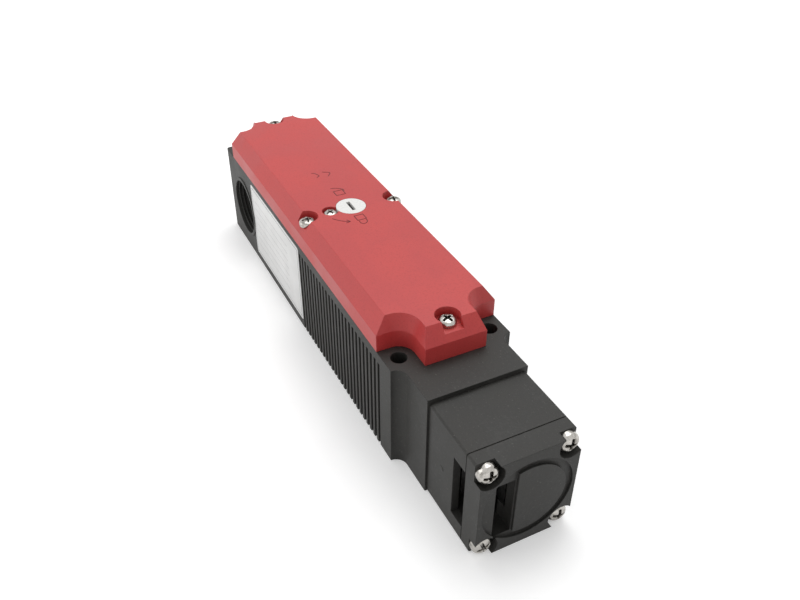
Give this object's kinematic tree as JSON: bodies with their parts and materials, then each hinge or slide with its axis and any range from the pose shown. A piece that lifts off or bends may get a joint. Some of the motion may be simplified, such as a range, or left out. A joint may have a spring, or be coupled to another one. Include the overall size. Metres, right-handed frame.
{
  "type": "tongue interlock switch",
  "caption": "Guard-locking safety switch in a long ribbed housing with a bevelled cover; a door tongue enters the head's side or end slot, turns a cam drum and moves a push rod.",
  "frame": {"origin": "centre of the four mounting holes on the mounting face", "axes": "+X along the switch to the actuator head, +Z out of the mounting face through the cover, -Y out of the wall with the side slot and the open cable entry"},
  "size_m": [0.2137, 0.0461, 0.0502],
  "materials": {
    "housing_black": "fine-textured black moulded plastic",
    "cover_red": "matt red moulded plastic",
    "plug_black": "black moulded plastic",
    "release_white": "smooth white plastic",
    "screw_steel": "zinc-plated steel",
    "mechanism_steel": "plain steel",
    "rod_metal": "turned stainless steel",
    "bush_plastic": "natural bearing plastic",
    "seal_rubber": "black seal rubber",
    "contact_grey": "grey moulded plastic",
    "terminal_grey": "light grey moulded plastic",
    "coil_copper": "enamelled copper winding",
    "terminal_brass": "brass clamp screws"
  },
  "bodies": {
    "switch_body": {"housing": "housing_black", "cover_gasket": "seal_rubber", "side_plug": "plug_black", "end_plug": "plug_black", "plug_seals": "seal_rubber", "cover": "cover_red", "cover_screws": "screw_steel", "seal_screw": "screw_steel", "release_seal": "seal_rubber", "head_housing": "housing_black", "head_end_cap": "housing_black", "head_screws": "screw_steel", "head_seal_ring": "seal_rubber", "drum_axle": "rod_metal", "rod_bush": "bush_plastic", "rod_seal": "seal_rubber", "rod_spring": "mechanism_steel", "mechanism_plate": "mechanism_steel", "solenoid_yoke": "mechanism_steel", "coil_bobbin": "bush_plastic", "coil": "coil_copper", "lever_bracket": "mechanism_steel", "lever_pin": "rod_metal", "lever_ring": "mechanism_steel", "lock_spring": "mechanism_steel", "guard_contact_block": "contact_grey", "block_screws": "screw_steel", "lock_contact_block": "contact_grey", "terminal_block": "terminal_grey", "terminal_screws": "terminal_brass"},
    "cam_drum": {"cam_drum": "rod_metal"},
    "push_rod": {"push_rod": "rod_metal", "rod_collar": "mechanism_steel", "contact_arm": "contact_grey"},
    "guard_plunger": {"guard_plunger": "bush_plastic"},
    "armature": {"armature": "rod_metal", "armature_pin": "rod_metal"},
    "lock_lever": {"lock_lever": "mechanism_steel"},
    "lock_plunger": {"lock_plunger": "bush_plastic"},
    "release": {"release_spindle": "release_white", "release_clip": "mechanism_steel"}
  },
  "joints": [
    {"name": "cam_drum_turn", "type": "hinge", "parent": "switch_body", "child": "cam_drum", "pos_m": [0.112, -0.003, 0.01845], "axis": [0, 0, 1], "range_deg": [0, 50]},
    {"name": "push_rod_slide", "type": "slide", "parent": "switch_body", "child": "push_rod", "axis": [1, 0, 0], "range_m": [0, 0.00436], "deforming": ["rod_spring"]},
    {"name": "guard_plunger_slide", "type": "slide", "parent": "switch_body", "child": "guard_plunger", "axis": [1, 0, 0], "range_m": [0, 0.0044]},
    {"name": "armature_slide", "type": "slide", "parent": "switch_body", "child": "armature", "axis": [-1, 0, 0], "range_m": [0, 0.0035], "stiffness_N_per_m": 250, "springref_m": -0.004},
    {"name": "lock_lever_turn", "type": "hinge", "parent": "switch_body", "child": "lock_lever", "pos_m": [0.0535, 0.0039, 0.034], "axis": [0, 1, 0], "range_deg": [0, 10.1], "deforming": ["lock_spring"]},
    {"name": "lock_plunger_slide", "type": "slide", "parent": "switch_body", "child": "lock_plunger", "axis": [0, 0, 1], "range_m": [0, 0.0043]},
    {"name": "release_turn", "type": "hinge", "parent": "switch_body", "child": "release", "pos_m": [0.0067, 0, 0.045], "axis": [0, 0, -1], "range_deg": [0, 180]}
  ],
  "couplings": [
    {"joint": "cam_drum_turn", "follows": "push_rod_slide", "rad_per_m": 200},
    {"joint": "guard_plunger_slide", "follows": "push_rod_slide", "ratio": 1},
    {"joint": "lock_lever_turn", "follows": "armature_slide", "rad_per_m": 50},
    {"joint": "lock_plunger_slide", "follows": "armature_slide", "ratio": 1.2}
  ]
}
